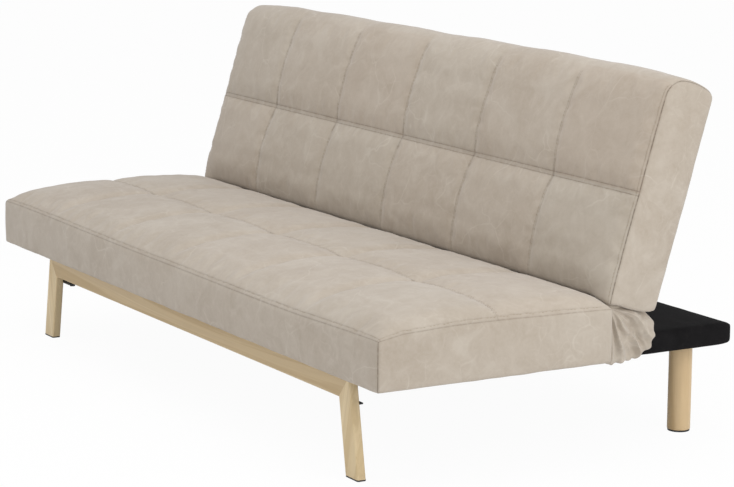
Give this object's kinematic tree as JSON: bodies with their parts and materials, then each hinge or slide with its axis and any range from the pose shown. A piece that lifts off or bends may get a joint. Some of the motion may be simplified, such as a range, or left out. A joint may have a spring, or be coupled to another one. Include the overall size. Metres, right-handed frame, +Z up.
{
  "type": "click clack sofa bed",
  "caption": "Armless sofa bed: padded grid-stitched seat and ratchet-hinged back that folds flat over a low rear shelf, on a splayed flat leg frame and round rear legs.",
  "frame": {"origin": "on the floor, under the middle of the whole width and depth with the back leaning", "axes": "+X along the sofa to the right end as a sitter sees it from in front, +Y from the front of the seat to the rear shelf, +Z up"},
  "size_m": [1.8, 0.9119, 0.7782],
  "materials": {
    "suede_fabric": "matt mottled faux suede, sand beige",
    "black_cloth": "thin black non-woven cloth",
    "black_cloth_board": "thin board faced in black cloth",
    "pine": "planed softwood",
    "pine_slat": "planed softwood strip",
    "hardboard": "bare hardboard",
    "wood_effect_steel": "satin, pale wood effect coating on steel tube",
    "beech": "satin clear lacquer, pale",
    "black_steel": "black powder coat",
    "zinc_steel": "bright zinc plated",
    "black_plastic": "matt black moulding"
  },
  "bodies": {
    "frame": {"bracket_beam_bolts": "zinc_steel", "bracket_foot_bolts": "black_steel", "bracket_rail_screws": "zinc_steel", "front_glide_left": "black_plastic", "front_glide_right": "black_plastic", "front_leg_beam": "wood_effect_steel", "front_leg_left": "wood_effect_steel", "front_leg_right": "wood_effect_steel", "hinge_cover_left": "suede_fabric", "hinge_cover_right": "suede_fabric", "hinge_pins": "zinc_steel", "hinge_seat_arm_left": "black_steel", "hinge_seat_arm_right": "black_steel", "hinge_seat_bolts": "zinc_steel", "leg_bracket_left": "black_steel", "leg_bracket_right": "black_steel", "pawl_pins": "zinc_steel", "pawl_springs": "zinc_steel", "rear_leg_bolts": "zinc_steel", "rear_leg_cap_left": "black_plastic", "rear_leg_cap_right": "black_plastic", "rear_leg_left": "beech", "rear_leg_right": "beech", "seat_cushion": "suede_fabric", "seat_dust_cloth": "black_cloth", "seat_front_rail": "pine", "seat_middle_rail_left": "pine", "seat_middle_rail_right": "pine", "seat_rear_rail": "pine", "seat_side_rail_left": "pine", "seat_side_rail_right": "pine", "seat_slat_1": "pine_slat", "seat_slat_2": "pine_slat", "seat_slat_3": "pine_slat", "seat_slat_4": "pine_slat", "seat_slat_5": "pine_slat", "seat_slat_6": "pine_slat", "shelf_bottom_board": "hardboard", "shelf_cover": "black_cloth", "shelf_middle_rail_left": "pine", "shelf_middle_rail_right": "pine", "shelf_rear_rail": "pine", "shelf_top_board": "hardboard"},
    "backrest": {"back_bottom_rail": "pine", "back_cushion": "suede_fabric", "back_middle_rail_left": "pine", "back_middle_rail_right": "pine", "back_rear_panel": "black_cloth_board", "back_side_rail_left": "pine", "back_side_rail_right": "pine", "back_slat_1": "pine_slat", "back_slat_2": "pine_slat", "back_slat_3": "pine_slat", "back_slat_4": "pine_slat", "back_top_rail": "pine", "hinge_back_arm_left": "black_steel", "hinge_back_arm_right": "black_steel", "hinge_back_bolts": "zinc_steel"},
    "pawl_left": {"hinge_pawl_left": "black_steel"},
    "pawl_right": {"hinge_pawl_right": "black_steel"}
  },
  "joints": [
    {"name": "back_hinge", "type": "hinge", "parent": "frame", "child": "backrest", "pos_m": [0, 0.12137, 0.33046], "axis": [-1, 0, 0], "range_deg": [-10, 73], "deforming": ["hinge_cover_left", "hinge_cover_right"]},
    {"name": "pawl_left_lift", "type": "hinge", "parent": "frame", "child": "pawl_left", "pos_m": [0, 0.10537, 0.29446], "axis": [1, 0, 0], "range_deg": [0, 15]},
    {"name": "pawl_right_lift", "type": "hinge", "parent": "frame", "child": "pawl_right", "pos_m": [0, 0.10537, 0.29446], "axis": [1, 0, 0], "range_deg": [0, 15]}
  ],
  "couplings": [
    {"joint": "pawl_right_lift", "follows": "pawl_left_lift", "ratio": 1}
  ]
}
